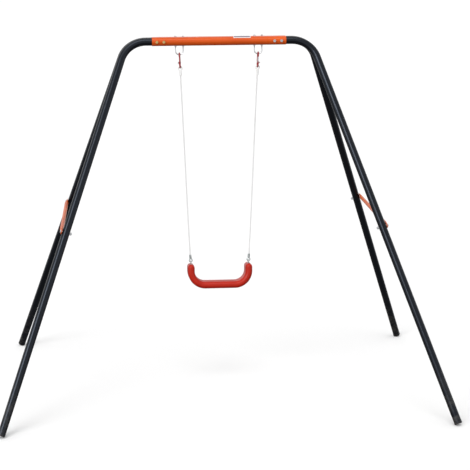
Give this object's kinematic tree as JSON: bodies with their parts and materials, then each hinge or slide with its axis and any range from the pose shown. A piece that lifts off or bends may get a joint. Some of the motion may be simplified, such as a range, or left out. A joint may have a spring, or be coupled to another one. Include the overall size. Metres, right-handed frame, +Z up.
{
  "type": "swing set",
  "caption": "Free-standing garden swing: splayed black tube legs, an orange crossbar, and a red moulded seat hung on white ropes from snap hooks",
  "frame": {"origin": "on the ground, in the middle between the four feet", "axes": "X along the crossbar to the right, Y to the rear, Z up"},
  "size_m": [2.2326, 1.536, 1.8304],
  "materials": {
    "orange_tube": "glossy orange paint",
    "brace_tube": "glossy orange paint, a little paler",
    "black_tube": "glossy black powder coat",
    "foot_cap": "moulded, fine grain",
    "bar_fastener": "yellow zinc plated",
    "zinc_steel": "bright zinc plated",
    "label": "plain film, unmarked",
    "hook_coat": "dipped red coating over steel wire",
    "hook_gate": "zinc plated",
    "white_plastic": "moulded",
    "rope": "three-strand synthetic rope",
    "ferrule": "dull grey zinc",
    "seat_plastic": "blow-moulded, satin"
  },
  "bodies": {
    "frame": {"crossbar": "orange_tube", "upper_leg_front_left": "black_tube", "upper_leg_front_right": "black_tube", "upper_leg_rear_left": "black_tube", "upper_leg_rear_right": "black_tube", "lower_leg_front_left": "black_tube", "lower_leg_front_right": "black_tube", "lower_leg_rear_left": "black_tube", "lower_leg_rear_right": "black_tube", "foot_cap_front_left": "foot_cap", "foot_cap_front_right": "foot_cap", "foot_cap_rear_left": "foot_cap", "foot_cap_rear_right": "foot_cap", "side_brace_left": "brace_tube", "side_brace_right": "brace_tube", "crossbar_bolts": "bar_fastener", "crossbar_nuts": "bar_fastener", "brace_bolts": "zinc_steel", "brace_nuts": "zinc_steel", "u_bolt_left": "zinc_steel", "u_bolt_right": "zinc_steel", "u_bolt_nuts": "zinc_steel", "label_plate": "label"},
    "hanger_left": {"snap_hook_left": "hook_coat", "gate_pin_left": "zinc_steel", "rope_eye_left": "white_plastic", "rope_left": "rope", "rope_ferrule_left": "ferrule"},
    "hanger_right": {"snap_hook_right": "hook_coat", "gate_pin_right": "zinc_steel", "rope_eye_right": "white_plastic", "rope_right": "rope", "rope_ferrule_right": "ferrule"},
    "gate_left": {"hook_gate_left": "hook_gate"},
    "gate_right": {"hook_gate_right": "hook_gate"},
    "seat": {"seat": "seat_plastic", "seat_eye_left": "ferrule", "seat_eye_right": "ferrule"}
  },
  "joints": [
    {"name": "swing_left", "type": "hinge", "parent": "frame", "child": "hanger_left", "pos_m": [-0.199, 0, 1.7326], "axis": [1, 0, 0], "range_deg": [-50, 50]},
    {"name": "swing_right", "type": "hinge", "parent": "frame", "child": "hanger_right", "pos_m": [0.199, 0, 1.7326], "axis": [1, 0, 0], "range_deg": [-50, 50]},
    {"name": "seat_pitch", "type": "hinge", "parent": "hanger_left", "child": "seat", "pos_m": [-0.15, 0, 0.658], "axis": [1, 0, 0], "range_deg": [-40, 40]},
    {"name": "gate_left_open", "type": "hinge", "parent": "hanger_left", "child": "gate_left", "pos_m": [-0.19721, 0.013, 1.69164], "axis": [0.999, 0, 0.0436], "range_deg": [0, 28], "stiffness_Nm_per_rad": 0.05, "springref_deg": -11.46},
    {"name": "gate_right_open", "type": "hinge", "parent": "hanger_right", "child": "gate_right", "pos_m": [0.19721, -0.013, 1.69164], "axis": [-0.999, 0, 0.0436], "range_deg": [0, 28], "stiffness_Nm_per_rad": 0.05, "springref_deg": -11.46}
  ],
  "couplings": [
    {"joint": "swing_right", "follows": "swing_left", "ratio": 1}
  ]
}
